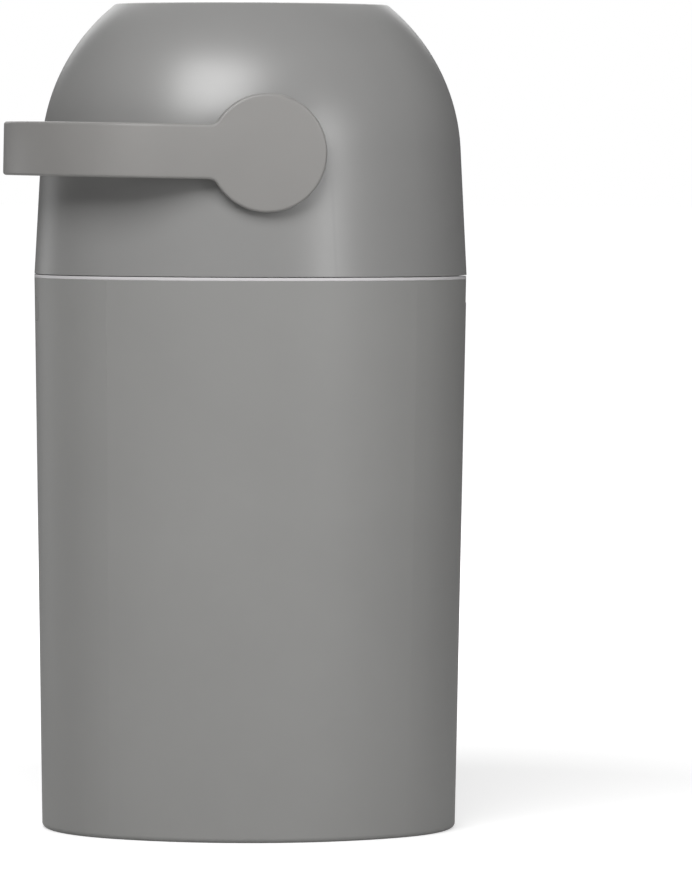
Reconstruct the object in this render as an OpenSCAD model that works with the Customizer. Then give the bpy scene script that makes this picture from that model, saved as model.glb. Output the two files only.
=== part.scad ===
// Flip-handle nappy bin in millimetres, +Z up, origin at the centre of the underside.
// X runs along the width: the resting handle's bar and the latch are at -X, the hinge at +X.
// The handle, its two discs and the drum turn about an axis along Y through the head.
// A loose piston drops through the drum at each flip and pushes the nappy down the chute.

/* [Bin] */
// Width across the seam between bin and head
body_w = 305.4; // [296:0.2:325]
// Depth across the seam
body_d = 250; // [244:1:262]
// Height of the rim
rim_h = 388.4; // [330:0.2:460]
// How far the wall leans in between rim and foot
body_draft = 6.5; // [2:0.5:10]
// Wall thickness of the bin
body_wall = 2.6; // [2:0.1:3.4]
// Thickness of the floor
floor_t = 3; // [2:0.5:6]
// Radius round the foot
foot_r = 3.5; // [2:0.5:6]
// Thickness of the stiffening band under the rim
rim_t = 5; // [4:0.2:6]
// Height of the stiffening band
rim_band_h = 10; // [6:0.5:14]

/* [Bag ring] */
// Thickness of the ring's flange, which shows as a pale line in the seam
ring_t = 2.2; // [1.6:0.1:3]
// Width of the flange, from the outside of the bin inwards
ring_w = 24; // [20:0.5:30]
// Depth of the ring's skirt below the rim
skirt_h = 28; // [15:1:40]
// Thickness of the skirt
skirt_t = 2.2; // [1.6:0.1:3]

/* [Head] */
// Gap between the bag ring and the head's lower edge
seam_gap = 0.5; // [0.4:0.1:1]
// Height of the head, from its lower edge to the edge of its top
head_h = 188.5; // [184:0.5:196]
// Lean of the head's wall below the shoulder, in degrees
head_lean = 3; // [1:0.5:4]
// Height of the shoulder's start above the head's lower edge
shoulder_h = 88.9; // [80:0.1:92]
// Radius of the shoulder
shoulder_r = 138; // [132:1:142]
// Radius round the edge of the top
top_edge_r = 3.5; // [2:0.5:6]
// Rise of the top from its edge to the throat
crown = 1.3; // [0:0.1:3]
// Wall thickness of the head
head_wall = 3; // [2.4:0.1:3.6]
// How much wider than the drum's tube the throat and the chute are, in radius
throat_over = 6; // [5.5:0.1:7]
// Wall thickness of throat and chute
throat_wall = 2.5; // [2:0.1:3]
// Height of the base plate above the head's lower edge
plate_in = 2.1; // [1.8:0.1:3]
// Thickness of the base plate
plate_t = 3; // [2.4:0.2:4]
// Depth of the chute below the rim
chute_drop = 14.4; // [8:0.2:20]
// Distance of the gasket from the head's outside
gasket_in = 16.5; // [15:0.5:17]
// Width of the gasket
gasket_w = 4; // [3:0.5:5]

/* [Drum] */
// Height of the pivot above the rim
pivot_rise = 88.1; // [87:0.1:89]
// Radius of the ball-shaped drum
drum_r = 96; // [94:0.5:97]
// Wall thickness of the drum's shells
drum_wall = 3; // [2:0.1:4]
// Distance of the drum's flat ends from its middle
drum_end = 80; // [76:0.5:84]
// Inside radius of the drum's tube
tube_r = 60; // [56:0.5:60.5]
// Wall thickness of the tube
tube_wall = 2.5; // [2:0.1:3]
// How far the lip at each end of the tube reaches in
tube_lip = 3; // [2:0.5:5]
// Radius of the trunnions
trunnion_r = 24; // [20:0.5:28]
// Wall thickness of the trunnions
trunnion_wall = 3; // [2:0.2:4]
// Wall thickness of the pivot bushes
bush_wall = 3; // [2:0.2:4]
// Running clearance of the trunnions in their bushes
pivot_fit = 0.05; // [0.02:0.01:0.1]

/* [Piston] */
// Height of the piston
piston_h = 33.4; // [24:0.2:50]
// Radial clearance of the piston in the tube
piston_fit = 0.5; // [0.4:0.05:1]
// Radius of the steel weight
weight_r = 40; // [25:1:48]
// Thickness of the steel weight
weight_t = 8; // [4:0.5:12]

/* [Handle] */
// Distance from the bin's side at the seam to the disc's face
disc_stand = 5; // [4.4:0.1:8]
// Radius of the discs
disc_r = 41; // [36:0.5:44]
// Thickness of discs and strap
handle_t = 6.3; // [5:0.1:8]
// Height of the strap
strap_h = 37.7; // [30:0.1:44]
// Distance from the bin's end at the seam to the outside of the bar
bar_stand = 22; // [18:0.5:34]
// Length of the flat stretch of the strap, from the pivot
strap_flat = 75; // [60:1:84]
// Plan radius of the strap's corners
strap_corner_r = 72; // [60:1:80]
// Rounding of the discs' edges
edge_r = 2.2; // [1:0.1:2.8]
// Radius of the fillets between strap and disc
fillet_r = 7; // [4:0.5:12]
// Height of the ribs along the strap's inner side, and thickness of the web between them
strap_rib = 3; // [2:0.1:3.2]
// Upward tilt of the resting strap, in degrees
strap_tilt = 0.9; // [0:0.1:2]

/* [Hinge and latch] */
// Radius of the hinge knuckles
hinge_r = 6; // [5:0.2:6.4]
// Radius of the hinge pin
pin_r = 2; // [1.5:0.1:2.5]
// Half the length of the hinge pocket
pocket_y = 22; // [20:0.5:23]
// Half the length of the head's knuckle
knuckle_y = 13; // [11:0.5:14]
// Width of the latch button
button_w = 36; // [28:1:44]
// Height of the latch button
button_h = 16; // [12:0.5:18]
// Width of the latch's tongue
tongue_w = 18; // [14:0.5:24]
// Reach of the latch's nose under its ledge, which is also the button's travel
nose = 3; // [2:0.1:3]

/* [Screws] */
// Radius of the screws' shanks
screw_r = 1.75; // [1.5:0.05:2]
// Radius of the screws' heads
screw_head_r = 3.4; // [3:0.1:4]
// Thickness of the screws' heads
screw_head_t = 1.4; // [1:0.1:2]
// How deep the head's screws bite into their pillars
pillar_bite = 14; // [10:0.5:16]
// How deep the handle's screws bite into its spigots
spigot_bite = 10; // [8:0.5:11]
// Distance of the head's screws from its outside
screw_in = 7; // [6.5:0.5:8]
// Radius of the screws' pillars
pillar_r = 4.5; // [4:0.1:5]
// Height of the screws' pillars
pillar_h = 28; // [20:1:40]
// Radius of the circle of the handle's screws
handle_screw_pcr = 12; // [10:0.5:13]

/* [Fits] */
// Clearance between pieces that move past each other
gap = 0.3; // [0.3:0.05:0.4]
// Clearance of the pin and of the parts that are seated in one another
seat = 0.05; // [0.02:0.01:0.1]
// Clearance of the screws in the holes that they pass through
screw_ease = 0.25; // [0.1:0.05:0.4]

/* [Hidden] */
$fn = 96;
// A length past every edge, a scale for the plan's sectors, and how far they lap over each other
far = 1000;
sector = 50;
lap = 0.02;
bin_grey = [0.58, 0.575, 0.565];
ring_grey = [0.86, 0.85, 0.85];
inner_grey = [0.72, 0.72, 0.71];
seal_grey = [0.25, 0.25, 0.26];
steel = [0.75, 0.76, 0.78];
acetal = [0.93, 0.93, 0.91];

// The plan is an oval of four arcs: two ends about [+-plan_x, 0], two sides about [0, +-plan_y].
// The arcs meet on lines that rise 4 for every 3 across, so that their ends are tangent.
half_w = body_w/2;
half_d = body_d/2;
plan_k = (half_w - half_d)/2;
plan_x = 3*plan_k;
plan_y = 4*plan_k;
end_r = half_w - plan_x;
side_r = end_r + 5*plan_k;

pivot_z = rim_h + pivot_rise;
ring_top = rim_h + ring_t;
head_z = ring_top + seam_gap;
shoulder_z = head_z + shoulder_h;
top_z = head_z + head_h;
plate_z = head_z + plate_in;
wall_ang = atan2(body_draft, rim_h);

// The shoulder is tangent to the leaning wall, and the edge of the top to the shoulder.
lean_in = shoulder_h*tan(head_lean);
shoulder_x = -lean_in - shoulder_r*cos(head_lean);
shoulder_cz = shoulder_z - shoulder_r*sin(head_lean);

// The drum's mouths lie where the tube's outside meets the ball.
tube_out = tube_r + tube_wall;
mouth = sqrt(drum_r^2 - tube_out^2) - 0.4;
throat_r = tube_r + throat_over;
throat_out = throat_r + throat_wall;
seal_in = tube_out + 1.8;
throat_end = mouth + 2;
lip_t = 2.2;
lip_step = 1.2;
seal_low = sqrt(drum_r^2 - throat_out^2) - 1;

disc_face = half_d + disc_stand;
disc_back = disc_face - handle_t;
pad_y = disc_back - seam_gap;
pad_r = disc_r - 3;
spigot_r = trunnion_r - trunnion_wall - 2*seat;
shoulder_r_drum = trunnion_r + 6;
drum_shoulder = drum_end + 14;
thrust_t = 1.5;
hub_in = drum_shoulder + gap + thrust_t;
bush_r = trunnion_r + pivot_fit + bush_wall;
hub_r = bush_r + 3;
screw_hole_r = screw_r + screw_ease;
stop_r = 44;
stop_y = 12;
stop_ang = 10;
lug_ang = 8;

hinge_x = half_w - hinge_r - 2.6;
hinge_z = rim_h - hinge_r - 3;
pocket_x = hinge_x - hinge_r - 1;
pocket_floor = hinge_z - hinge_r - 2;

shank_x = -(half_w - 9.5);
shank_t = 2.2;
ledge_x = -(half_w + shank_x) + 1;
nose_top = rim_h - rim_band_h - 2.4;
button_z = nose_top - 2 - button_h/2;
button_in = shank_x - nose - gap;

// The plan's quarters: the end at +X and the side at +Y. The ends lap over the sides by a hair's
// breadth, where both outlines run the same way, so that all four join in one piece.
module end_quarter() {
    polygon([[plan_x - lap, 0], [plan_x - lap + 3*sector, 4*sector], [plan_x - lap + 3*sector, -4*sector]]);
}
module side_quarter() {
    polygon([[plan_x, 0], [plan_x + 3*sector, 4*sector], [-plan_x - 3*sector, 4*sector], [-plan_x, 0]]);
}

// Sweeps a filled profile round the plan; x = 0 in the profile is the plan's outline.
module sweep_plan() {
    for (half = [0, 180]) rotate([0, 0, half]) {
        intersection() {
            translate([plan_x, 0, 0]) rotate([0, 0, 180]) rotate_extrude() profile_at(end_r) children();
            linear_extrude(height = far) end_quarter();
        }
        intersection() {
            translate([0, -plan_y, 0]) rotate([0, 0, -90]) rotate_extrude() profile_at(side_r) children();
            linear_extrude(height = far) side_quarter();
        }
    }
}

// Sweeps a profile over a stretch of the end at +X (side = 0) or -X (side = 180), w to each side.
module sweep_end(side, w) {
    rotate([0, 0, side]) intersection() {
        translate([plan_x, 0, 0]) rotate([0, 0, 180]) rotate_extrude() profile_at(end_r) children();
        translate([plan_x + 10, -w, 0]) cube([far, 2*w, far]);
    }
}

module profile_at(r) {
    intersection() {
        translate([r, 0]) children();
        square([r + 20, far]);
    }
}

// Flat oval, drawn inside the plan's outline by inset.
module oval(inset) {
    for (half = [0, 180]) rotate([0, 0, half]) {
        intersection() {
            translate([plan_x, 0]) circle(r = end_r - inset);
            end_quarter();
        }
        intersection() {
            translate([0, -plan_y]) circle(r = side_r - inset);
            side_quarter();
        }
    }
}

// Revolves a profile of radius and height about the pivot axis, towards side*Y.
module about_pivot(side, ang = 360, start = 0) {
    translate([0, 0, pivot_z]) rotate([side < 0 ? 90 : -90, 0, 0])
        rotate([0, 0, start]) rotate_extrude(angle = ang) children();
}

// A rounded rectangle about its centre.
module soft_bar(w, h, r) {
    square([w - 2*r, h], center = true);
    square([w, h - 2*r], center = true);
    for (x = [-1, 1], y = [-1, 1]) translate([x*(w/2 - r), y*(h/2 - r)]) circle(r = r);
}

// ---- Bin ----

// Profile of a tub with a leaning wall: its wall is inset, its floor at low has corner radius r.
module tub_profile(inset, low, high, r) {
    foot = -inset - body_draft + low*tan(wall_ang);
    corner = foot + r*tan(wall_ang) - r/cos(wall_ang);
    rim = -inset - body_draft + high*tan(wall_ang);
    polygon([[-far, low], [corner, low], [corner + r*cos(wall_ang), low + r - r*sin(wall_ang)],
        [rim, high], [-far, high]]);
    translate([corner, low + r]) circle(r = r);
}

module cavity_profile() {
    difference() {
        tub_profile(body_wall, floor_t, rim_h + 1, foot_r + 3);
        polygon([[-rim_t, rim_h + 2], [-rim_t, rim_h - rim_band_h],
            [0, rim_h - rim_band_h - rim_t], [10, rim_h - rim_band_h - rim_t], [10, rim_h + 2]]);
    }
}

module hinge_barrel(y0, y1) {
    translate([hinge_x, y0, hinge_z]) rotate([-90, 0, 0]) cylinder(r = hinge_r, h = y1 - y0);
}

module hinge_bore() {
    translate([hinge_x, -pocket_y - 3, hinge_z]) rotate([-90, 0, 0])
        cylinder(r = pin_r + seat, h = 2*pocket_y + 6);
}

// The button's outline, pushed through the front wall along X.
module button_prism(grow, x0, x1) {
    translate([x0, 0, button_z]) rotate([90, 0, 90]) linear_extrude(height = x1 - x0)
        soft_bar(button_w + 2*grow, button_h + 2*grow, button_h/2 - 0.5 + grow);
}

module bin_body() {
    color(bin_grey) difference() {
        union() {
            difference() {
                sweep_plan() tub_profile(0, 0, rim_h, foot_r);
                sweep_plan() cavity_profile();
            }
            // block behind the hinge pocket
            sweep_end(0, pocket_y + 3) translate([-half_w + pocket_x - 2.5, pocket_floor - 6])
                square([half_w - pocket_x + 1.5, rim_h - pocket_floor + 6]);
            // ledge that the latch's nose catches under
            sweep_end(180, 14) polygon([[-1, nose_top + gap], [ledge_x, nose_top + gap],
                [ledge_x, nose_top + 2.4], [-rim_t, rim_h - rim_band_h + 2], [-1, rim_h - rim_band_h + 2]]);
        }
        difference() {
            translate([pocket_x, -pocket_y, pocket_floor]) cube([far, 2*pocket_y, far]);
            for (side = [-1, 1]) {
                low = side < 0 ? -pocket_y - 1 : knuckle_y + gap;
                high = low + pocket_y + 1 - knuckle_y - gap;
                hinge_barrel(low, high);
                translate([pocket_x - 1, low, hinge_z - hinge_r])
                    cube([hinge_x - pocket_x + 1, high - low, 2*hinge_r]);
                translate([pocket_x, low, pocket_floor - 1])
                    cube([hinge_x - pocket_x + hinge_r - 1, high - low, hinge_z - pocket_floor + 1]);
            }
        }
        hinge_bore();
        button_prism(gap, -half_w - 5, -half_w + body_wall + 4);
    }
}

module bag_ring() {
    color(ring_grey) difference() {
        union() {
            difference() {
                translate([0, 0, rim_h]) linear_extrude(height = ring_t) oval(0);
                translate([0, 0, rim_h - 1]) linear_extrude(height = ring_t + 2) oval(ring_w);
            }
            difference() {
                sweep_plan() polygon([[-far, rim_h - skirt_h], [-ring_w + 3, rim_h - skirt_h],
                    [-ring_w + 3, rim_h - skirt_h + 2.4], [-ring_w + 4.2, rim_h - skirt_h + 4],
                    [-ring_w + 5.2, rim_h + 0.5], [-far, rim_h + 0.5]]);
                sweep_plan() polygon([[-far, rim_h - skirt_h - 1], [-ring_w + 0.4, rim_h - skirt_h - 1],
                    [-ring_w + 5.2 - skirt_t, rim_h - 2], [-ring_w + 3.2 - skirt_t, ring_top + 1],
                    [-far, ring_top + 1]]);
            }
        }
        translate([pocket_x, -pocket_y, 0]) cube([far, 2*pocket_y, ring_top + 5]);
        translate([shank_x - nose - 1, -tongue_w/2 - 1, 0])
            cube([nose + shank_t + 2.2, tongue_w + 2, ring_top + 5]);
    }
}

module hinge_pin() {
    color(steel) translate([hinge_x, -pocket_y - 3, hinge_z]) rotate([-90, 0, 0])
        cylinder(r = pin_r, h = 2*pocket_y + 6);
}

module latch_button() {
    color(bin_grey) {
        intersection() {
            sweep_end(180, button_w) difference() {
                tub_profile(0, 10, rim_h, 1);
                translate([-far, 0]) square([far - half_w - button_in, rim_h]);
            }
            button_prism(0, -half_w - 2, button_in);
        }
        button_prism(1.6, button_in - 1, button_in);
    }
}

// ---- Head ----

// Points of an arc about c from the angle a0 to a1.
function arc(c, r, a0, a1, steps) =
    [for (i = [0:steps]) let (a = a0 + (a1 - a0)*i/steps) [c[0] + r*cos(a), c[1] + r*sin(a)]];

// Filled outline of the dome, inset by t; the crown rises towards the throat.
module dome_profile(t, low) {
    edge_z = top_z - t - top_edge_r;
    reach = shoulder_r - t;
    edge_x = shoulder_x + sqrt((reach - top_edge_r)^2 - (edge_z - shoulder_cz)^2);
    tip = atan2(edge_z - shoulder_cz, edge_x - shoulder_x);
    polygon(concat([[-far, low], [-t/cos(head_lean) - (low - head_z)*tan(head_lean), low]],
        arc([shoulder_x, shoulder_cz], reach, head_lean, tip, 18),
        arc([edge_x, edge_z], top_edge_r, tip + 8, 90, 4),
        [[edge_x - 30, top_z - t + crown], [-far, top_z - t + crown]]));
}

// Centres of the head's screws: four near the ends, four along the sides.
function end_point(a) = [plan_x + (end_r - screw_in)*cos(a), (end_r - screw_in)*sin(a)];
function side_point(a) = [(side_r - screw_in)*cos(a), (side_r - screw_in)*sin(a) - plan_y];
screw_points = [for (p = [end_point(35), side_point(71)], sx = [-1, 1], sy = [-1, 1]) [sx*p[0], sy*p[1]]];

module dome_cover() {
    color(bin_grey) difference() {
        union() {
            difference() {
                sweep_plan() dome_profile(0, head_z);
                difference() {
                    sweep_plan() dome_profile(head_wall, head_z - 5);
                    // pivot hubs and screw pillars stand inside the shell
                    for (side = [-1, 1]) {
                        about_pivot(side) translate([0, hub_in]) square([hub_r, far - hub_in]);
                        // the drum's stop
                        about_pivot(side, 180 - 2*stop_ang, side > 0 ? stop_ang : 180 + stop_ang)
                            translate([hub_r - 1, hub_in]) square([stop_r - hub_r + 1, stop_y]);
                    }
                    for (p = screw_points) translate([p[0], p[1], plate_z + plate_t])
                        cylinder(r = pillar_r, h = pillar_h);
                }
            }
            // flat pads behind the discs
            for (side = [-1, 1]) about_pivot(side) translate([0, pad_y - 12]) square([pad_r, 12]);
        }
        translate([0, 0, pivot_z + throat_end]) cylinder(r = throat_out + seat, h = far);
        for (side = [-1, 1]) about_pivot(side) square([bush_r, far]);
        for (p = screw_points) translate([p[0], p[1], plate_z])
            cylinder(r = screw_r, h = plate_t + pillar_bite + 2);
    }
}
module head_base() {
    color(inner_grey) difference() {
        union() {
            translate([0, 0, plate_z]) linear_extrude(height = plate_t) oval(head_wall + gap);
            translate([0, 0, rim_h - chute_drop])
                cylinder(r = throat_out, h = pivot_z - throat_end - rim_h + chute_drop);
            // radial ribs between chute and edge
            for (a = [0:30:330]) rotate([0, 0, a]) translate([throat_out - 1, -1, plate_z + plate_t - 0.5])
                cube([34, 2, 5.5]);
            // arm and knuckle of the hinge
            hinge_barrel(-knuckle_y, knuckle_y);
            translate([hinge_x - 5, -knuckle_y, hinge_z])
                cube([6, 2*knuckle_y, plate_z + plate_t - hinge_z]);
        }
        translate([0, 0, rim_h - chute_drop - 1]) cylinder(r = throat_r, h = far);
        hinge_bore();
        for (p = screw_points) translate([p[0], p[1], plate_z - 1])
            cylinder(r = screw_hole_r, h = plate_t + 2);
        translate([shank_x - seat, -tongue_w/2 - gap, plate_z - 1])
            cube([shank_t + 2*seat, tongue_w + 2*gap, plate_t + 2]);
    }
}

module head_gasket() {
    color(seal_grey) translate([0, 0, ring_top + gap]) linear_extrude(height = plate_z - ring_top - gap)
        difference() {
            oval(gasket_in);
            oval(gasket_in + gasket_w);
        }
}

module head_screws() {
    color(steel) for (p = screw_points) translate([p[0], p[1], plate_z]) {
        translate([0, 0, -screw_head_t]) cylinder(r = screw_head_r, h = screw_head_t);
        cylinder(r = screw_r, h = plate_t + pillar_bite);
    }
}

module latch_tongue() {
    color(acetal) translate([0, tongue_w/2, 0]) rotate([90, 0, 0]) linear_extrude(height = tongue_w) {
        polygon([[shank_x, nose_top - 11], [shank_x + shank_t, nose_top - 11],
            [shank_x + shank_t, plate_z + plate_t], [shank_x + 15, plate_z + plate_t],
            [shank_x + 15, plate_z + plate_t + 2.2],
            [shank_x, plate_z + plate_t + 2.2]]);
        polygon([[shank_x + 0.5, nose_top], [shank_x - nose, nose_top], [shank_x - nose, nose_top - 4],
            [shank_x, nose_top - 11], [shank_x + 0.5, nose_top - 11]]);
    }
}

// Sleeve of the throat, let into the cover's top, with a rounded lip and a seat for the seal.
module throat_liner() {
    color(inner_grey) translate([0, 0, pivot_z + throat_end]) rotate_extrude() difference() {
        union() {
            square([throat_out, top_z + crown - pivot_z - throat_end]);
            translate([throat_r + 1.3, top_z + crown - pivot_z - throat_end]) circle(r = 1.2, $fn = 32);
        }
        translate([-1, -1]) square([throat_r + 1, far]);
    }
}

// Wiper ring round a mouth, cut to the ball with the working gap.
module mouth_seal(side) {
    color(seal_grey) translate([0, 0, pivot_z]) scale([1, 1, side]) rotate_extrude() difference() {
        translate([seal_in, seal_low]) square([throat_out - seal_in, throat_end - seal_low]);
        circle(r = drum_r + gap, $fn = 180);
    }
}
module throat_seal() mouth_seal(1);
module chute_seal() mouth_seal(-1);

module pivot_bush(side) {
    color(acetal) about_pivot(side) {
        translate([trunnion_r + pivot_fit, hub_in]) square([bush_wall, pad_y - hub_in]);
        translate([trunnion_r + pivot_fit, hub_in - thrust_t])
            square([hub_r - trunnion_r - pivot_fit, thrust_t]);
    }
}
module near_pivot_bush() pivot_bush(-1);
module far_pivot_bush() pivot_bush(1);

// ---- Drum ----

module drum_tube() {
    color(inner_grey) translate([0, 0, pivot_z]) rotate_extrude() difference() {
        translate([tube_r, -mouth]) square([tube_wall, 2*mouth]);
        // step at each end that takes a lip ring
        for (z = [-mouth - 1, mouth - lip_t]) translate([0, z]) square([tube_r + lip_step, lip_t + 1]);
    }
}

// Ring that is snapped into an end of the tube and keeps the piston in.
module lip_ring(low) {
    color(acetal) translate([0, 0, pivot_z + low]) rotate_extrude()
        translate([tube_r - tube_lip, 0]) square([tube_lip + lip_step - seat, lip_t]);
}
module upper_lip_ring() lip_ring(mouth - lip_t);
module lower_lip_ring() lip_ring(-mouth);

// Stands its children on the axes of one end's three handle screws, pointing outwards.
module handle_screw_axes(side) {
    for (a = [90, 210, 330]) translate([handle_screw_pcr*cos(a), 0, pivot_z + handle_screw_pcr*sin(a)])
        rotate([side < 0 ? 90 : -90, 0, 0]) children();
}

module drum_shell(side) {
    color(inner_grey) difference() {
        about_pivot(side) difference() {
            union() {
                intersection() {
                    circle(r = drum_r, $fn = 180);
                    square([drum_r, drum_end]);
                }
                square([shoulder_r_drum, drum_shoulder]);
                square([trunnion_r, pad_y - gap]);
            }
            intersection() {
                circle(r = drum_r - drum_wall, $fn = 180);
                translate([-1, -1]) square([drum_r, drum_end - drum_wall + 1]);
            }
            translate([-1, drum_end]) square([trunnion_r - trunnion_wall + 1, far]);
        }
        translate([0, 0, pivot_z - drum_r]) cylinder(r = tube_out + seat, h = 2*drum_r);
        handle_screw_axes(side) cylinder(r = screw_hole_r, h = drum_end + 2);
    }
    // lug that meets the head's stop at both ends of the turn
    color(inner_grey) about_pivot(side, 2*lug_ang, 180 - lug_ang)
        polygon([[shoulder_r_drum - 1, drum_end - 1], [stop_r - 1, drum_end - 1],
            [stop_r - 1, hub_in + stop_y - 2], [hub_r + 1, hub_in + stop_y - 2],
            [hub_r + 1, drum_shoulder - 1], [shoulder_r_drum - 1, drum_shoulder - 1]]);
}
module near_drum_shell() drum_shell(-1);
module far_drum_shell() drum_shell(1);

bar_out = half_w + bar_stand;
corner_y = disc_face - strap_corner_r;
bar_reach = bar_out - strap_corner_r;
bar_c = (bar_reach^2 - strap_flat^2 - corner_y^2)/(2*(bar_reach - strap_flat));
bar_r = bar_out - bar_c;
bar_ang = atan2(corner_y, strap_flat - bar_c);

// Plan of the handle's U, drawn inside its outer face by inset: flat sides, corners and bar.
module strap_plan(inset) {
    near = concat([[0, -(disc_face - inset)]],
        arc([-strap_flat, -corner_y], strap_corner_r - inset, 270, 180 + bar_ang, 14),
        arc([-bar_c, 0], bar_r - inset, 180 + bar_ang, 180, 18));
    polygon(concat(near, [for (i = [len(near) - 2:-1:0]) [near[i][0], -near[i][1]]]));
}

module strap() {
    difference() {
        translate([0, 0, -strap_h/2]) linear_extrude(height = strap_h) difference() {
            strap_plan(0);
            strap_plan(handle_t);
        }
        // hollow on the inner side, between an upper and a lower rib
        translate([0, 0, -strap_h/2 + strap_rib]) linear_extrude(height = strap_h - 2*strap_rib)
            difference() {
                strap_plan(strap_rib);
                translate([-disc_r - 5, -disc_face]) square([far, 2*disc_face]);
            }
    }
}

module handle_fillets() {
    y0 = strap_h/2;
    cz = y0 + fillet_r;
    cx = -sqrt((disc_r + fillet_r)^2 - cz^2);
    for (side = [-1, 1]) scale([1, 1, side]) difference() {
        polygon([[cx, y0 - 1], [0, y0 - 1], [0, 0.9*cz*disc_r/(disc_r + fillet_r)],
            [cx*disc_r/(disc_r + fillet_r), cz*disc_r/(disc_r + fillet_r)], [cx, cz]]);
        translate([cx, cz]) circle(r = fillet_r);
    }
}

module handle() {
    color(bin_grey) {
        difference() {
            union() {
                translate([0, 0, pivot_z]) rotate([0, strap_tilt, 0]) {
                    strap();
                    for (y = [-disc_back, disc_face]) translate([0, y, 0]) rotate([90, 0, 0])
                        linear_extrude(height = handle_t) handle_fillets();
                }
                for (side = [-1, 1]) about_pivot(side) {
                    translate([0, disc_back]) square([disc_r - edge_r, handle_t]);
                    translate([0, disc_back]) square([disc_r, handle_t - edge_r]);
                    translate([disc_r - edge_r, disc_face - edge_r]) circle(r = edge_r);
                }
                for (side = [-1, 1]) about_pivot(side) translate([0, drum_end])
                    square([spigot_r, disc_back - drum_end]);
            }
            for (side = [-1, 1]) about_pivot(side) translate([0, drum_end + spigot_bite + 2])
                square([spigot_r - 3, disc_back - drum_end - spigot_bite]);
            for (side = [-1, 1]) handle_screw_axes(side) translate([0, 0, drum_end - 1])
                cylinder(r = screw_r, h = spigot_bite + 3);
        }
    }
}

module handle_screws() {
    color(steel) for (side = [-1, 1]) handle_screw_axes(side) {
        translate([0, 0, drum_end - drum_wall - screw_head_t]) cylinder(r = screw_head_r, h = screw_head_t);
        translate([0, 0, drum_end - drum_wall - 0.1]) cylinder(r = screw_r, h = drum_wall + spigot_bite);
    }
}

// ---- Piston ----

piston_r = tube_r - piston_fit;
piston_low = pivot_z - mouth + lip_t + gap;
piston_mid = piston_low + piston_h/2;
cap_t = 2.4;

// One cap: a dished face with a skirt, standing with its face at the height 0.
module piston_cap() {
    rotate_extrude() difference() {
        union() {
            square([piston_r - 2, piston_h/2]);
            translate([0, 2]) square([piston_r, piston_h/2 - 5]);
            translate([piston_r - 2, 2]) circle(r = 2, $fn = 48);
        }
        translate([-1, cap_t + 3]) square([piston_r - cap_t - 1, piston_h]);
        // shallow dish in the face
        polygon([[-1, -1], [piston_r - 10, -1], [piston_r - 10, 0], [piston_r - 14, 3], [-1, 3]]);
    }
}
module lower_piston_cap() color(acetal) translate([0, 0, piston_low]) piston_cap();
module upper_piston_cap() {
    color(acetal) translate([0, 0, piston_low + piston_h]) rotate([180, 0, 0]) piston_cap();
}
module piston_weight() {
    color(steel) translate([0, 0, piston_low + cap_t + 3]) difference() {
        cylinder(r = weight_r, h = weight_t);
        translate([0, 0, -1]) cylinder(r = 6, h = weight_t + 2);
    }
}
module piston_wiper() {
    color(seal_grey) translate([0, 0, piston_mid - 3]) difference() {
        cylinder(r = tube_r - gap, h = 6);
        translate([0, 0, -1]) cylinder(r = piston_r - 2, h = 8);
    }
}

bin_body();
bag_ring();
hinge_pin();
latch_button();
dome_cover();
head_base();
head_gasket();
head_screws();
latch_tongue();
throat_liner();
throat_seal();
chute_seal();
near_pivot_bush();
far_pivot_bush();
drum_tube();
upper_lip_ring();
lower_lip_ring();
near_drum_shell();
far_drum_shell();
handle();
handle_screws();
upper_piston_cap();
lower_piston_cap();
piston_weight();
piston_wiper();
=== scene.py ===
import math

import bmesh
import bpy
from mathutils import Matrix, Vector


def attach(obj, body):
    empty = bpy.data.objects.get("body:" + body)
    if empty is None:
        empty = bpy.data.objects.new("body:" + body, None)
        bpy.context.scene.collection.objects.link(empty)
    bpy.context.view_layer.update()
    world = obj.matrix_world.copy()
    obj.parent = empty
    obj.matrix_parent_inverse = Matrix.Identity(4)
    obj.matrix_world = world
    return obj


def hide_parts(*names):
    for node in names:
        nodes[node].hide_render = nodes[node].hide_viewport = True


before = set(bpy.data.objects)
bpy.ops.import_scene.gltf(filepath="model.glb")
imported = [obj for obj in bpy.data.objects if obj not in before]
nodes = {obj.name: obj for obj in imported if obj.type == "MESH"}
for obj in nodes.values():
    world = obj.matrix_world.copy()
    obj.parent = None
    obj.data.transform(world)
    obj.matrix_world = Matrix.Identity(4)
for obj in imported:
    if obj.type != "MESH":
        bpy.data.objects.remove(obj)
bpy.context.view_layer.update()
bpy.ops.object.select_all(action="DESELECT")

# ---- Bin ----
# The tall oval tub: one injection moulding in warm mid grey polypropylene, with the fine
# skin of a spark-eroded tool. The latch button at its left end is of the same plastic.


# a node of this kind; values are set on the inputs of these names or numbers
def add_node(tree, kind, operation=None, values=()):
    node = tree.nodes.new("ShaderNode" + kind)
    if operation:
        node.operation = operation
    for socket, value in dict(values).items():
        node.inputs[socket].default_value = value
    return node


# the skin of a moulding: pits left by the tool, faint flow clouds and rubbed edges
skin = bpy.data.node_groups.new("moulded_skin", "ShaderNodeTree")
for name, kind, value in (
        ("Colour", "NodeSocketColor", (0.3, 0.3, 0.3, 1)),
        ("Rubbed", "NodeSocketColor", (0.5, 0.5, 0.5, 1)),
        ("Roughness", "NodeSocketFloat", 0.4),
        ("Grain Size", "NodeSocketFloat", 900.0),
        ("Grain Depth", "NodeSocketFloat", 0.25),
        ("Clouds", "NodeSocketFloat", 0.05),
        ("Edge Width", "NodeSocketFloat", 0.0008)):
    skin.interface.new_socket(name, in_out="INPUT", socket_type=kind).default_value = value
for name, kind in (
        ("Colour", "NodeSocketColor"),
        ("Roughness", "NodeSocketFloat"),
        ("Normal", "NodeSocketVector")):
    skin.interface.new_socket(name, in_out="OUTPUT", socket_type=kind)
given = skin.nodes.new("NodeGroupInput")
put = skin.nodes.new("NodeGroupOutput")
place = add_node(skin, "TexCoord")
pits = add_node(skin, "TexNoise", values={"Detail": 3})
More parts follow.
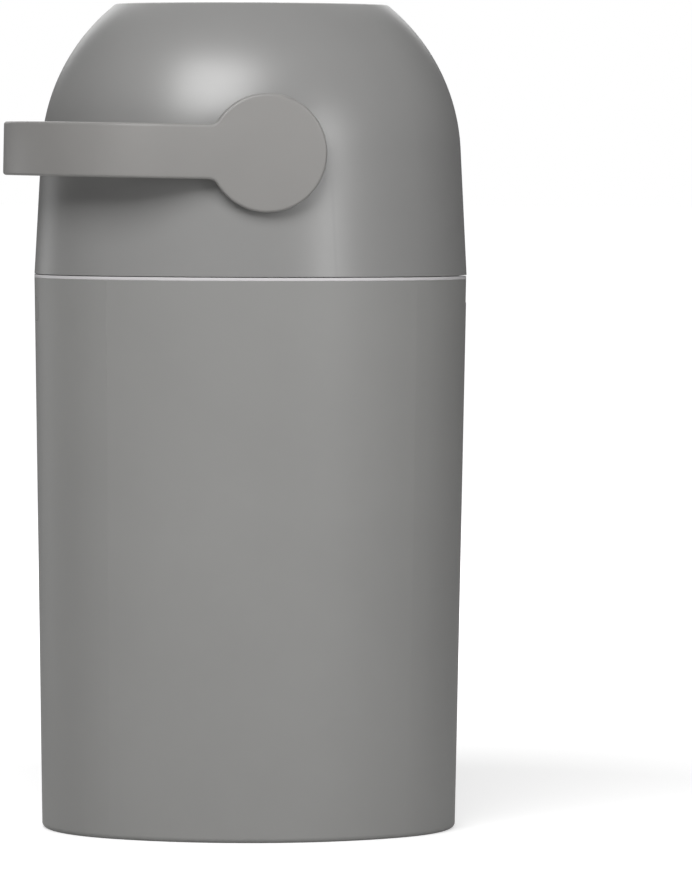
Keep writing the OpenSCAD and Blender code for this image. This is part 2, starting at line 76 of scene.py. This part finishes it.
clouds = add_node(skin, "TexNoise", values={"Scale": 9, "Detail": 5, "Roughness": 0.62})
cloud_span = add_node(skin, "MapRange", values={"From Min": 0.3, "From Max": 0.7})
link = skin.links.new
link(place.outputs["Object"], pits.inputs["Vector"])
link(given.outputs["Grain Size"], pits.inputs["Scale"])
link(place.outputs["Object"], clouds.inputs["Vector"])
link(clouds.outputs["Fac"], cloud_span.inputs["Value"])

# an edge is where the rounded normal leaves the flat one, and it is rubbed in patches
round_normal = add_node(skin, "Bevel")
round_normal.samples = 4
flat = add_node(skin, "NewGeometry")
facing = add_node(skin, "VectorMath", "DOT_PRODUCT")
edge = add_node(skin, "MapRange", values={"From Min": 0.995, "From Max": 0.80, "To Max": 0.5})
patchy = add_node(skin, "Math", "MULTIPLY")
link(given.outputs["Edge Width"], round_normal.inputs["Radius"])
link(round_normal.outputs["Normal"], facing.inputs[0])
link(flat.outputs["Normal"], facing.inputs[1])
link(facing.outputs["Value"], edge.inputs["Value"])
link(edge.outputs["Result"], patchy.inputs[0])
link(cloud_span.outputs["Result"], patchy.inputs[1])

# colour: the clouds swing it evenly to both sides, and rubbed edges are paler
half_swing = add_node(skin, "Math", "MULTIPLY", {1: -0.5})
swing = add_node(skin, "Math", "MULTIPLY_ADD")
shade = add_node(skin, "Math", "ADD", {1: 1.0})
tinted = add_node(skin, "VectorMath", "SCALE")
rub = add_node(skin, "Mix")
rub.data_type = "RGBA"
link(given.outputs["Clouds"], half_swing.inputs[0])
link(cloud_span.outputs["Result"], swing.inputs[0])
link(given.outputs["Clouds"], swing.inputs[1])
link(half_swing.outputs["Value"], swing.inputs[2])
link(swing.outputs["Value"], shade.inputs[0])
link(given.outputs["Colour"], tinted.inputs[0])
link(shade.outputs["Value"], tinted.inputs["Scale"])
link(patchy.outputs["Value"], rub.inputs["Factor"])
link(tinted.outputs["Vector"], rub.inputs["A"])
link(given.outputs["Rubbed"], rub.inputs["B"])
link(rub.outputs["Result"], put.inputs["Colour"])

# gloss: the pits spread the roughness about its value, and rubbed edges are smoother
lowest = add_node(skin, "Math", "SUBTRACT", {1: 0.08})
gloss = add_node(skin, "Math", "MULTIPLY_ADD", {1: 0.16})
gloss_edge = add_node(skin, "Math", "MULTIPLY_ADD", {1: -0.18})
bump = add_node(skin, "Bump", values={"Distance": 0.00006})
link(given.outputs["Roughness"], lowest.inputs[0])
link(pits.outputs["Fac"], gloss.inputs[0])
link(lowest.outputs["Value"], gloss.inputs[2])
link(patchy.outputs["Value"], gloss_edge.inputs[0])
link(gloss.outputs["Value"], gloss_edge.inputs[2])
link(gloss_edge.outputs["Value"], put.inputs["Roughness"])
link(pits.outputs["Fac"], bump.inputs["Height"])
link(given.outputs["Grain Depth"], bump.inputs["Strength"])
link(round_normal.outputs["Normal"], bump.inputs["Normal"])
link(bump.outputs["Normal"], put.inputs["Normal"])


# a plastic or rubber that has this skin, with values of its own
def moulding(name, colour, rubbed, roughness, grain=900.0, depth=0.25, clouding=0.05,
             edge_width=0.0008, specular=0.5):
    made = bpy.data.materials.new(name)
    made.use_nodes = True
    shader = made.node_tree.nodes["Principled BSDF"]
    shader.inputs["Specular IOR Level"].default_value = specular
    group = add_node(made.node_tree, "Group")
    group.name = "skin"
    group.node_tree = skin
    for socket, value in (
            ("Colour", (*colour, 1)),
            ("Rubbed", (*rubbed, 1)),
            ("Roughness", roughness),
            ("Grain Size", grain),
            ("Grain Depth", depth),
            ("Clouds", clouding),
            ("Edge Width", edge_width)):
        group.inputs[socket].default_value = value
    for out, socket in (
            ("Colour", "Base Color"),
            ("Roughness", "Roughness"),
            ("Normal", "Normal")):
        made.node_tree.links.new(group.outputs[out], shader.inputs[socket])
    return made


# gives a CAD piece this material, and leaves its mesh alone
def finish_node(name, material):
    nodes[name].data.materials.clear()
    nodes[name].data.materials.append(material)


tub_plastic = moulding("tub_grey_polypropylene", (0.292, 0.290, 0.283),
                       (0.40, 0.398, 0.39), 0.46)
finish_node("bin_body", tub_plastic)
finish_node("latch_button", tub_plastic)

# ---- Bag ring ----
# The pale polypropylene ring that lies on the bin's rim. Its flange shows as a thin line in
# the seam, and a bag's mouth is pulled through it and folded over its skirt.
ring_plastic = moulding("ring_pale_polypropylene", (0.66, 0.645, 0.655),
                        (0.78, 0.77, 0.775), 0.40, depth=0.15)
finish_node("bag_ring", ring_plastic)

# ---- Steel pieces ----
# Hinge pin, screws and the piston's weight: zinc plated steel, drawn or turned, with
# fine turning lines and a little blue in the plating.
plated = bpy.data.materials.new("zinc_plated_steel")
plated.use_nodes = True
tree = plated.node_tree
shader = tree.nodes["Principled BSDF"]
shader.inputs["Metallic"].default_value = 1.0
place = add_node(tree, "TexCoord")
lines = add_node(tree, "TexNoise", values={"Scale": 700, "Detail": 4})
tone = add_node(tree, "ValToRGB")
tone.color_ramp.elements[0].color = (0.44, 0.455, 0.48, 1)
tone.color_ramp.elements[1].color = (0.66, 0.665, 0.66, 1)
rough = add_node(tree, "MapRange", values={"To Min": 0.24, "To Max": 0.42})
score = add_node(tree, "Bump", values={"Distance": 0.00004, "Strength": 0.3})
link = tree.links.new
link(place.outputs["Object"], lines.inputs["Vector"])
link(lines.outputs["Fac"], tone.inputs["Fac"])
link(tone.outputs["Color"], shader.inputs["Base Color"])
link(lines.outputs["Fac"], rough.inputs["Value"])
link(rough.outputs["Result"], shader.inputs["Roughness"])
link(lines.outputs["Fac"], score.inputs["Height"])
link(score.outputs["Normal"], shader.inputs["Normal"])
for name in ("hinge_pin", "head_screws", "handle_screws", "piston_weight"):
    finish_node(name, plated)

# ---- Head base, drum and piston ----
# The base plate with its chute, the drum's tube and its two half-ball shells are light grey
# mouldings. Bushes, latch tongue, lip rings and piston caps are waxy off-white acetal.
inner_plastic = moulding("inner_light_grey", (0.44, 0.44, 0.43),
                         (0.56, 0.56, 0.55), 0.38, depth=0.15)
for name in ("head_base", "drum_tube", "near_drum_shell", "far_drum_shell"):
    finish_node(name, inner_plastic)
slider = moulding("waxy_acetal", (0.79, 0.78, 0.745),
                  (0.86, 0.85, 0.83), 0.30, grain=300.0, depth=0.08, clouding=0.03)
for name in ("near_pivot_bush", "far_pivot_bush", "latch_tongue", "upper_lip_ring",
             "lower_lip_ring", "upper_piston_cap", "lower_piston_cap"):
    finish_node(name, slider)

# ---- Seals ----
# Head gasket, mouth seals and the piston's wiper: closed rings moulded in soft dark rubber
# with a matt, dusty bloom, each pushed into its seat.
seal_rubber = moulding("seal_rubber", (0.040, 0.040, 0.043),
                       (0.10, 0.10, 0.10), 0.72, grain=1400.0, depth=0.5, clouding=0.3)
for name in ("head_gasket", "throat_seal", "chute_seal", "piston_wiper"):
    finish_node(name, seal_rubber)

# ---- Domed cover ----
# Upper moulding of the head, 305 x 250 mm at the seam and 3 mm thick: a wall that leans in, a
# broad shoulder and a crowned top, swept round an oval of four arcs. It is more finely
# polished than the tub, so that it shows soft reflections of the lights.
HALF_W = 0.1527
HALF_D = 0.125
SEAM_Z = 0.3911
TOP_Z = 0.5810
CROWN = 0.0006          # the top rises this much from its rim to the throat
TOP_REACH = 0.030       # and runs this far in, past the throat's edge
LEAN = math.radians(3)
WALL_H = 0.0889         # the shoulder starts this far above the seam
WALL_STEPS = 4
SHOULDER_R = 0.138
RIM_R = 0.0038
SHELL_T = 0.003
THROAT_R = 0.06855
PIVOT = Vector((0, 0, 0.4765))
PAD_R = 0.038           # flat pads behind the handle's discs
PAD_Y = 0.1232
PAD_T = 0.012
BORE_R = 0.02705
HUB_R = BORE_R + 0.003  # hubs inside the pads, which hold the pivot bushes
HUB_Y = 0.1042
HUB_L = 0.0165
SOFT_EDGE = 0.0004
THROAT_CUT = 0.1        # lengths of the cylinders that cut the throat and the bores
BORE_CUT = 0.3
MEET = 1e-5             # points closer than this are one
ALONG_Y = (math.radians(90), 0, 0)
end_arc = Vector((3 * (HALF_W - HALF_D) / 2, 0, 0))
side_arc = Vector((0, 4 * (HALF_W - HALF_D) / 2, 0))
shoulder = Vector((HALF_W - WALL_H * math.tan(LEAN) - SHOULDER_R * math.cos(LEAN), 0,
                   SEAM_Z + WALL_H - SHOULDER_R * math.sin(LEAN)))
rim_ang = math.asin((TOP_Z - RIM_R - shoulder.z) / (SHOULDER_R - RIM_R))
rim = shoulder + (SHOULDER_R - RIM_R) * Vector((math.cos(rim_ang), 0, math.sin(rim_ang)))


# opens one piece in edit mode, with nothing in it selected
def edit(obj):
    bpy.ops.object.select_all(action="DESELECT")
    obj.select_set(True)
    bpy.context.view_layer.objects.active = obj
    bpy.ops.object.mode_set(mode="EDIT")
    bpy.ops.mesh.select_all(action="DESELECT")


# selects the vertices, edges or faces that pass the test
def pick(obj, kind, test):
    bpy.ops.mesh.select_mode(type=kind)
    bpy.ops.mesh.select_all(action="DESELECT")
    mesh = bmesh.from_edit_mesh(obj.data)
    for item in {"VERT": mesh.verts, "EDGE": mesh.edges, "FACE": mesh.faces}[kind]:
        if test(item):
            item.select_set(True)
    bmesh.update_edit_mesh(obj.data)


# a small plane merged to one vertex, from which a profile is drawn
def start_profile(name, x, z):
    bpy.ops.mesh.primitive_plane_add(size=0.001, location=(x, 0, z))
    piece = bpy.context.object
    piece.name = name
    bpy.ops.object.transform_apply(location=True, rotation=True, scale=True)
    edit(piece)
    bpy.ops.mesh.select_all(action="SELECT")
    bpy.ops.mesh.merge(type="CENTER")
    return piece


def extrude(x, y, z):
    bpy.ops.mesh.extrude_region_move(TRANSFORM_OT_translate={"value": (x, y, z)})


# joins the points that meet, and leaves the whole piece selected
def weld():
    bpy.ops.mesh.select_all(action="SELECT")
    bpy.ops.mesh.remove_doubles(threshold=MEET)


# cuts a cylinder out of the piece, or unites it with one
def cut(obj, radius, depth, location, rotation, operation="DIFFERENCE"):
    bpy.ops.mesh.primitive_cylinder_add(vertices=128, radius=radius, depth=depth,
                                        location=location, rotation=rotation)
    tool = bpy.context.object
    bpy.ops.object.transform_apply(location=True, rotation=True, scale=True)
    bpy.ops.object.select_all(action="DESELECT")
    obj.select_set(True)
    bpy.context.view_layer.objects.active = obj
    made = obj.modifiers.new("made", "BOOLEAN")
    made.operation = operation
    made.solver = "EXACT"
    made.object = tool
    bpy.ops.object.modifier_apply(modifier="made")
    bpy.data.objects.remove(tool)


# breaks the hard edges of the active piece, and shades what is left as one surface
def soften_edges(obj, width):
    soften = obj.modifiers.new("soften", "BEVEL")
    soften.width = width
    soften.segments = 2
    soften.limit_method = "ANGLE"
    soften.angle_limit = math.radians(50)
    bpy.ops.object.modifier_apply(modifier="soften")
    bpy.ops.object.shade_smooth_by_angle(angle=math.radians(32))


# the profile at the right end, drawn from the seam up to the top
dome = start_profile("dome_moulding", HALF_W, SEAM_Z)
for _ in range(WALL_STEPS):
    extrude(-WALL_H * math.tan(LEAN) / WALL_STEPS, 0, WALL_H / WALL_STEPS)
bpy.ops.mesh.spin(steps=30, angle=rim_ang - LEAN, center=shoulder, axis=(0, 1, 0))
bpy.ops.mesh.spin(steps=6, angle=math.pi / 2 - rim_ang, center=rim, axis=(0, 1, 0))
extrude(-TOP_REACH, 0, CROWN)
# the sweep round the four arcs; a triangle with sides of 3, 4 and 5 joins their centres
bpy.ops.mesh.select_all(action="SELECT")
end_turn = math.atan2(4, 3)
side_turn = math.pi - 2 * end_turn
for centre, turn, steps in (
        (end_arc, end_turn, 26),
        (side_arc, side_turn, 40),
        (-end_arc, 2 * end_turn, 52),
        (-side_arc, side_turn, 40),
        (end_arc, end_turn, 26)):
    bpy.ops.mesh.spin(steps=steps, angle=turn, center=centre, axis=(0, 0, 1))
weld()
# the top is closed, and the shell gets its wall inwards
pick(dome, "VERT", lambda v: v.co.z > TOP_Z + CROWN - MEET)
bpy.ops.mesh.edge_face_add()
bpy.ops.mesh.select_all(action="SELECT")
bpy.ops.mesh.normals_make_consistent(inside=False)
bpy.ops.object.mode_set(mode="OBJECT")
wall = dome.modifiers.new("wall", "SOLIDIFY")
wall.thickness = SHELL_T
wall.offset = -1
wall.use_even_offset = True
bpy.ops.object.modifier_apply(modifier="wall")
# pads with their hubs, then the throat and the pivot bores, each cut right through
for face in (-1, 1):
    cut(dome, PAD_R, PAD_T, (0, face * (PAD_Y - PAD_T / 2), PIVOT.z), ALONG_Y, "UNION")
    cut(dome, HUB_R, HUB_L, (0, face * HUB_Y, PIVOT.z), ALONG_Y, "UNION")
cut(dome, THROAT_R, THROAT_CUT, (0, 0, TOP_Z), (0, 0, 0))
cut(dome, BORE_R, BORE_CUT, PIVOT, ALONG_Y)
soften_edges(dome, SOFT_EDGE)
even = dome.modifiers.new("even", "WEIGHTED_NORMAL")
even.keep_sharp = True
bpy.ops.object.modifier_apply(modifier="even")

# same plastic as the tub, but its grey is set darker: painted shade that dims the dome
dome_plastic = moulding("dome_grey_polypropylene", (0.272, 0.270, 0.266),
                        (0.37, 0.368, 0.36), 0.35, depth=0.06, specular=0.75)
# a faint darker streak below the near pivot: a line that leans a little, a few
# millimetres wide, which fades out upwards and is only on the near side
MARK_X = 0.0662
MARK_LEAN = math.radians(2.6)
MARK_DEPTH = 0.05       # share of the colour that its middle loses
tree = dome_plastic.node_tree
place = add_node(tree, "TexCoord")
turned = add_node(tree, "Mapping", values={"Location": (-MARK_X, 0, 0),
                                           "Rotation": (0, MARK_LEAN, 0)})
apart = add_node(tree, "SeparateXYZ")
beside = add_node(tree, "Math", "ABSOLUTE")
streak = add_node(tree, "MapRange", values={"From Min": 0.0004, "From Max": 0.0018,
                                            "To Min": MARK_DEPTH, "To Max": 0.0})
fading = add_node(tree, "MapRange", values={"From Min": 0.462, "From Max": 0.440})
near_side = add_node(tree, "Math", "LESS_THAN", {1: -0.08})
marked = add_node(tree, "Math", "MULTIPLY")
here = add_node(tree, "Math", "MULTIPLY")
dimmed = add_node(tree, "Mix")
dimmed.data_type = "RGBA"
dimmed.inputs["B"].default_value = (0, 0, 0, 1)
link = tree.links.new
link(place.outputs["Object"], turned.inputs["Vector"])
link(turned.outputs["Vector"], apart.inputs["Vector"])
link(apart.outputs["X"], beside.inputs[0])
link(beside.outputs["Value"], streak.inputs["Value"])
link(apart.outputs["Z"], fading.inputs["Value"])
link(apart.outputs["Y"], near_side.inputs[0])
link(streak.outputs["Result"], marked.inputs[0])
link(fading.outputs["Result"], marked.inputs[1])
link(marked.outputs["Value"], here.inputs[0])
link(near_side.outputs["Value"], here.inputs[1])
link(here.outputs["Value"], dimmed.inputs["Factor"])
link(tree.nodes["skin"].outputs["Colour"], dimmed.inputs["A"])
link(dimmed.outputs["Result"], tree.nodes["Principled BSDF"].inputs["Base Color"])
dome.data.materials.append(dome_plastic)
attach(dome, "head")
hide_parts("dome_cover")

# ---- Liner of the throat ----
# Smooth sleeve in the top of the head, 132 mm wide inside, with a round bead along its mouth.
# It is moulded in the dome's plastic and pressed in from above.
SLEEVE_IN = 0.0660
SLEEVE_OUT = 0.0685
SLEEVE_LOW = 0.5511
BEAD_Z = 0.5797
bead_r = (SLEEVE_OUT - SLEEVE_IN) / 2
sleeve = start_profile("throat_sleeve", SLEEVE_OUT, SLEEVE_LOW)
extrude(0, 0, BEAD_Z - SLEEVE_LOW)
bpy.ops.mesh.spin(steps=12, angle=math.pi, center=(SLEEVE_IN + bead_r, 0, BEAD_Z),
                  axis=(0, 1, 0))
extrude(0, 0, SLEEVE_LOW - BEAD_Z)
extrude(SLEEVE_OUT - SLEEVE_IN, 0, 0)
weld()
bpy.ops.mesh.spin(steps=160, angle=2 * math.pi, center=(0, 0, 0), axis=(0, 0, 1))
weld()
bpy.ops.mesh.normals_make_consistent(inside=False)
bpy.ops.object.mode_set(mode="OBJECT")
soften_edges(sleeve, SOFT_EDGE)
sleeve.data.materials.append(dome_plastic)
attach(sleeve, "head")
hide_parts("throat_liner")

# ---- Handle ----
# The U-shaped strap that runs into a round disc at each end: one polypropylene moulding with
# rounded edges and a rib along both edges of its inner side. Two spigots carry its turn into
# the drum, to whose trunnions the discs are screwed.
FACE = 0.130            # outer face of disc and strap, from the middle plane
THICK = 0.0063
DISC_R = 0.041
STRAP_H = 0.0377
FILLET_R = 0.007
ARM_END = 0.046         # the strap's ribs start here
FLAT = 0.075            # the flat stretch ends here
CORNER_R = 0.072
BAR_OUT = 0.1747
RIB_W = 0.003
HOLLOW = 0.0033         # depth of the strap's inner side between its ribs
ROUND_R = 0.0022
TILT = math.radians(0.9)
SPIGOT_R = 0.0209
SPIGOT_L = 0.0447
SPIGOT_Y = 0.10235
HANDLE_EDGE = 0.0005    # softening of the edges that the broad rounding leaves
ROOM_X = 0.0006         # room between the ends of the disc's arc and the fillets
ROOM_Z = 0.0012
reach = BAR_OUT - CORNER_R
corner = Vector((-FLAT, CORNER_R - FACE, PIVOT.z))
bar = Vector((-(reach ** 2 - FLAT ** 2 - corner.y ** 2) / (2 * (reach - FLAT)), 0, PIVOT.z))
bar_ang = math.atan2(-corner.y, bar.x - corner.x)
bar_r = BAR_OUT + bar.x
fillet_z = STRAP_H / 2 + FILLET_R
fillet_x = -math.sqrt((DISC_R + FILLET_R) ** 2 - fillet_z ** 2)
touch = Vector((fillet_x, 0, fillet_z)) * DISC_R / (DISC_R + FILLET_R)
sweep = math.pi / 2 - math.atan2(fillet_z, -fillet_x)

# the front outline: the disc's arc, opened where the arm joins it
bpy.ops.mesh.primitive_circle_add(vertices=120, radius=DISC_R, location=(0, -FACE, PIVOT.z),
                                  rotation=ALONG_Y)
handle = bpy.context.object
handle.name = "handle_moulding"
bpy.ops.object.transform_apply(location=True, rotation=True, scale=True)
edit(handle)
pick(handle, "VERT", lambda v: v.co.x < touch.x + ROOM_X
     and abs(v.co.z - PIVOT.z) < touch.z + ROOM_Z)
bpy.ops.mesh.delete(type="VERT")
# then a fillet and the first stretch of the arm, drawn from each open end, which is the
# vertex nearest to a point far out on its side
for side in (1, -1):
    outlook = Vector((-1, -FACE, PIVOT.z + side * 0.6))
    arc_end = min(bmesh.from_edit_mesh(handle.data).verts,
                  key=lambda v: (v.co - outlook).length).co.copy()
    pick(handle, "VERT", lambda v: (v.co - arc_end).length < MEET)
    extrude(*(Vector((touch.x, -FACE, PIVOT.z + side * touch.z)) - arc_end))
    bpy.ops.mesh.spin(steps=10, angle=-side * sweep,
                      center=(fillet_x, -FACE, PIVOT.z + side * fillet_z), axis=(0, 1, 0))
    extrude(-ARM_END - fillet_x, 0, 0)
weld()
bpy.ops.mesh.edge_face_add()
extrude(0, THICK, 0)
# the strap runs on from the arm's end: flat to the corner, round it, and along half of the bar
pick(handle, "FACE", lambda f: abs(f.calc_center_median().x + ARM_END) < MEET)
extrude(ARM_END - FLAT, 0, 0)
bpy.ops.mesh.spin(steps=12, angle=math.pi / 2 - bar_ang, center=corner, axis=(0, 0, 1))
bpy.ops.mesh.spin(steps=16, angle=bar_ang, center=bar, axis=(0, 0, 1))
bpy.ops.mesh.delete(type="ONLY_FACE")
bpy.ops.object.mode_set(mode="OBJECT")
mirror = handle.modifiers.new("far_side", "MIRROR")
mirror.use_axis = (False, True, False)
mirror.merge_threshold = MEET
bpy.ops.object.modifier_apply(modifier="far_side")
edit(handle)
weld()
bpy.ops.mesh.normals_make_consistent(inside=False)
# the hollow between the ribs: upright faces of the strap that look towards the head
inside = Vector((-0.06, 0, PIVOT.z))
pick(handle, "FACE", lambda f: abs(f.normal.z) < 0.1
     and f.calc_center_median().x < -ARM_END - 1e-4
     and f.normal.dot(inside - f.calc_center_median()) > 0)
bpy.ops.mesh.inset(thickness=RIB_W, depth=-HOLLOW, use_even_offset=True)


# true for a point of the outer face of disc and strap
def on_outside(p):
    y = abs(p.y)
    if p.x > -FLAT - MEET:
        return abs(y - FACE) < MEET
    return (abs(math.hypot(p.x - corner.x, y + corner.y) - CORNER_R) < MEET
            or abs(math.hypot(p.x - bar.x, y) - bar_r) < MEET)


# the broad rounding round that face
pick(handle, "EDGE", lambda e: len(e.link_faces) == 2 and e.calc_face_angle() > 1.0
     and on_outside(e.verts[0].co) and on_outside(e.verts[1].co))
bpy.ops.mesh.bevel(offset=ROUND_R, segments=5, affect="EDGES", clamp_overlap=False)
bpy.ops.mesh.select_all(action="SELECT")
bpy.ops.transform.rotate(value=-TILT, orient_axis="Y", center_override=PIVOT)
bpy.ops.object.mode_set(mode="OBJECT")
for side in (-1, 1):
    cut(handle, SPIGOT_R, SPIGOT_L, (0, side * SPIGOT_Y, PIVOT.z), ALONG_Y, "UNION")
soften_edges(handle, HANDLE_EDGE)
handle_plastic = moulding("handle_grey_polypropylene", (0.290, 0.283, 0.275),
                          (0.40, 0.394, 0.385), 0.44, depth=0.2)
handle.data.materials.append(handle_plastic)
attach(handle, "drum")
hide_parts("handle")

# ---- Floor, lights and camera ----
# A wide pale floor under plain soft light. Camera rays see the floor and the surroundings
# as white, with the bin's own soft shadow left in the floor.
FADE_FROM = 0.5         # the floor brightens from here outwards, in metres from the bin
FADE_TO = 1.6
bpy.ops.mesh.primitive_plane_add(size=120, location=(0, 0, 0))
floor = bpy.context.object
floor.name = "floor"
paper = bpy.data.materials.new("pale_floor")
paper.use_nodes = True
tree = paper.node_tree
shader = tree.nodes["Principled BSDF"]
shader.inputs["Base Color"].default_value = (0.63, 0.63, 0.63, 1)
shader.inputs["Roughness"].default_value = 0.9
shader.inputs["Specular IOR Level"].default_value = 0.1
shader.inputs["Emission Color"].default_value = (1, 1, 1, 1)
place = add_node(tree, "TexCoord")
away = add_node(tree, "VectorMath", "LENGTH")
fade = add_node(tree, "MapRange", values={"From Min": FADE_FROM, "From Max": FADE_TO,
                                          "To Min": 0.58, "To Max": 1.0})
ray = add_node(tree, "LightPath")
lit = add_node(tree, "Math", "MULTIPLY")
link = tree.links.new
link(place.outputs["Object"], away.inputs[0])
link(away.outputs["Value"], fade.inputs["Value"])
link(ray.outputs["Is Camera Ray"], lit.inputs[0])
link(fade.outputs["Result"], lit.inputs[1])
link(lit.outputs["Value"], shader.inputs["Emission Strength"])
floor.data.materials.append(paper)

# surroundings: a dim even light, a little brighter in reflections, and white for the camera
world = bpy.data.worlds.new("studio")
bpy.context.scene.world = world
world.use_nodes = True
tree = world.node_tree
sky = tree.nodes["Background"]
sky.inputs["Color"].default_value = (1, 1, 1, 1)
ray = add_node(tree, "LightPath")
mirrored = add_node(tree, "Math", "MULTIPLY_ADD", {1: 0.12, 2: 0.06})
level = add_node(tree, "Math", "MULTIPLY_ADD", {1: 0.94})
link = tree.links.new
link(ray.outputs["Is Glossy Ray"], mirrored.inputs[0])
link(ray.outputs["Is Camera Ray"], level.inputs[0])
link(mirrored.outputs["Value"], level.inputs[2])
link(level.outputs["Value"], sky.inputs["Strength"])


# a soft lamp that looks at its aim; azimuth counts in degrees from the bin's front to its
# right, elevation counts upwards, and the other lengths are in metres
def softbox(name, azimuth, elevation, distance, width, height, watts, aim=(0, 0, 0.40)):
    turn = math.radians(azimuth)
    rise = math.radians(elevation)
    at = Vector(aim) + distance * Vector((math.sin(turn) * math.cos(rise),
                                          -math.cos(turn) * math.cos(rise),
                                          math.sin(rise)))
    bpy.ops.object.light_add(type="AREA", location=at)
    lamp = bpy.context.object
    lamp.name = name
    lamp.data.shape = "RECTANGLE"
    lamp.data.size = width
    lamp.data.size_y = height
    lamp.data.energy = watts
    lamp.rotation_euler = (Vector(aim) - at).to_track_quat("-Z", "Y").to_euler()


# the key gives the glow on the shoulder and the shadow on the floor, the strip the upright
# band right of the disc, the left one the tub's left edge, and the back one lights the rear
softbox("key_softbox", -22, 43, 3.2, 1.8, 1.8, 83)
softbox("right_strip", 33, 13, 2.0, 0.24, 1.1, 9)
softbox("left_rim", -135, 0, 2.6, 1.0, 0.8, 3.5, aim=(0, 0, 0.15))
softbox("back_softbox", 178, 36, 3.4, 3.0, 3.0, 48)

YAW = math.radians(-5.15)
DISTANCE = 4.60
HEIGHT = 0.472
ROLL = math.radians(0.21)
AIM = Vector((0, 0, 0.291))
SENSOR = 36
FRAME_W = 692           # the photograph's frame in pixels, and where the aim lies in it
FRAME_H = 872
AIM_X = 250.2
AIM_Y = 415.6
FOCAL_PX = 6514.0
bpy.ops.object.camera_add(location=(DISTANCE * math.sin(YAW), -DISTANCE * math.cos(YAW), HEIGHT))
camera = bpy.context.object
camera.name = "camera"
camera.data.sensor_fit = "HORIZONTAL"
camera.data.sensor_width = SENSOR
camera.data.lens = FOCAL_PX * SENSOR / FRAME_W
camera.data.clip_end = 100
camera.rotation_euler = (AIM - camera.location).to_track_quat("-Z", "Y").to_euler()
camera.rotation_euler.rotate_axis("Z", ROLL)
camera.data.shift_x = (FRAME_W / 2 - AIM_X) / FRAME_W
camera.data.shift_y = (AIM_Y - FRAME_H / 2) / FRAME_W
bpy.context.scene.camera = camera
bpy.context.scene.view_settings.view_transform = "Standard"
